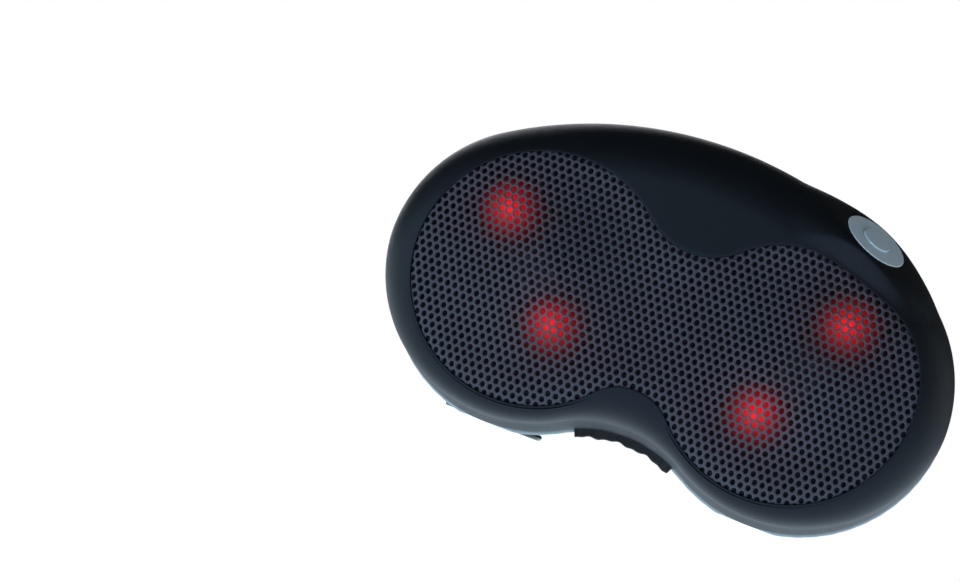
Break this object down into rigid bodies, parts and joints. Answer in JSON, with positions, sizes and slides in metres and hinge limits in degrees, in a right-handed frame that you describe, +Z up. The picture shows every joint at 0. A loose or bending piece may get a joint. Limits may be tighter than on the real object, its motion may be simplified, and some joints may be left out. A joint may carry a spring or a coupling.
{
  "type": "shiatsu neck massager",
  "caption": "Kidney-shaped massage pillow with a hex-mesh front over lit rotating massage heads, a moulded back and a buckled strap.",
  "frame": {"origin": "on the plane the pillow stands on, midway between its two lobes, below the seam between front cover and back shell", "axes": "+X along the pillow to the power button's end, -Y out of the massage face, +Z up from the neck edge to the top edge"},
  "size_m": [0.3432, 0.1919, 0.2009],
  "materials": {
    "cover_fabric": "matte stretch fabric",
    "mesh_fabric": "matte spacer mesh",
    "liner_fabric": "thin dark knitted liner",
    "padding": "open-cell foam",
    "piping": "smooth pale piping",
    "tab_ribbon": "ribbed ribbon",
    "shell_leather": "fine matte grain",
    "webbing": "coarse woven webbing",
    "buckle_plastic": "satin moulded",
    "bezel_plastic": "satin pale grey",
    "button_plastic": "satin pale grey",
    "chassis_plastic": "textured moulded",
    "gear_plastic": "natural acetal",
    "head_plastic": "translucent red",
    "lamp": "lit lamp",
    "circuit_board": "green laminate",
    "component_body": "black moulded",
    "steel": "machined",
    "zinc_steel": "zinc plated",
    "bronze": "sintered",
    "magnet": "ferrite",
    "copper_ring": "plated track",
    "lead_jacket": "glossy jacket"
  },
  "bodies": {
    "root": {"front_cover": "cover_fabric", "mesh_panel": "mesh_fabric", "inner_liner": "liner_fabric", "foam_pad": "padding", "edge_piping": "piping", "seam_tab": "tab_ribbon", "back_shell": "shell_leather", "strap_fixed": "webbing", "strap_lower": "webbing", "buckle_socket": "buckle_plastic", "control_bezel": "bezel_plastic", "chassis_rear": "chassis_plastic", "chassis_front": "chassis_plastic", "motor_end_cap": "chassis_plastic", "brush_block_left": "chassis_plastic", "brush_block_right": "chassis_plastic", "control_board": "circuit_board", "button_board": "circuit_board", "board_components": "component_body", "tact_switch": "component_body", "wheel_axles": "steel", "motor_can": "steel", "chassis_screws": "zinc_steel", "clamp_screws": "zinc_steel", "board_screws": "zinc_steel", "axle_clips": "zinc_steel", "motor_clamps": "zinc_steel", "shaft_bushes": "bronze", "motor_magnets": "magnet", "lead_grommet": "lead_jacket", "dc_lead": "lead_jacket", "lead_connector": "lead_jacket"},
    "left_carrier": {"worm_wheel_left": "gear_plastic", "slip_ring_left": "copper_ring", "arm_left": "gear_plastic", "arm_screws_left": "zinc_steel", "head_pins_left": "steel", "lamp_boards_left": "lamp"},
    "right_carrier": {"worm_wheel_right": "gear_plastic", "slip_ring_right": "copper_ring", "arm_right": "gear_plastic", "arm_screws_right": "zinc_steel", "head_pins_right": "steel", "lamp_boards_right": "lamp"},
    "drive": {"drive_shaft": "steel", "worm_left": "steel", "worm_right": "steel", "motor_rotor": "steel"},
    "body_head_left_upper": {"head_left_upper": "head_plastic"},
    "body_head_left_lower": {"head_left_lower": "head_plastic"},
    "body_head_right_upper": {"head_right_upper": "head_plastic"},
    "body_head_right_lower": {"head_right_lower": "head_plastic"},
    "button": {"power_button": "button_plastic"},
    "buckle_release_part": {"buckle_insert": "buckle_plastic", "buckle_prongs": "buckle_plastic", "strap_tail": "webbing"}
  },
  "joints": [
    {"name": "left_spin", "type": "hinge", "parent": "root", "child": "left_carrier", "pos_m": [-0.082, 0, 0.09165], "axis": [0, 1, 0], "continuous": true},
    {"name": "right_spin", "type": "hinge", "parent": "root", "child": "right_carrier", "pos_m": [0.082, 0, 0.09165], "axis": [0, 1, 0], "continuous": true},
    {"name": "shaft_spin", "type": "hinge", "parent": "root", "child": "drive", "pos_m": [0, -0.0045, 0.12765], "axis": [1, 0, 0], "continuous": true},
    {"name": "head_left_upper_spin", "type": "hinge", "parent": "left_carrier", "child": "body_head_left_upper", "pos_m": [-0.10562, 0, 0.11882], "axis": [0, 1, 0], "continuous": true},
    {"name": "head_left_lower_spin", "type": "hinge", "parent": "left_carrier", "child": "body_head_left_lower", "pos_m": [-0.05838, 0, 0.06448], "axis": [0, 1, 0], "continuous": true},
    {"name": "head_right_upper_spin", "type": "hinge", "parent": "right_carrier", "child": "body_head_right_upper", "pos_m": [0.09721, 0, 0.12428], "axis": [0, 1, 0], "continuous": true},
    {"name": "head_right_lower_spin", "type": "hinge", "parent": "right_carrier", "child": "body_head_right_lower", "pos_m": [0.06679, 0, 0.05902], "axis": [0, 1, 0], "continuous": true},
    {"name": "button_press", "type": "slide", "parent": "root", "child": "button", "axis": [-0.3531, 0.4695, -0.8093], "range_m": [0, 0.001], "stiffness_N_per_m": 1500, "springref_m": -0.0004},
    {"name": "buckle_release", "type": "slide", "parent": "root", "child": "buckle_release_part", "axis": [-1, 0, 0], "range_m": [0, 0.03], "deforming": ["strap_lower", "buckle_prongs"]}
  ],
  "couplings": [
    {"joint": "right_spin", "follows": "left_spin", "ratio": -1},
    {"joint": "shaft_spin", "follows": "left_spin", "ratio": 60}
  ]
}
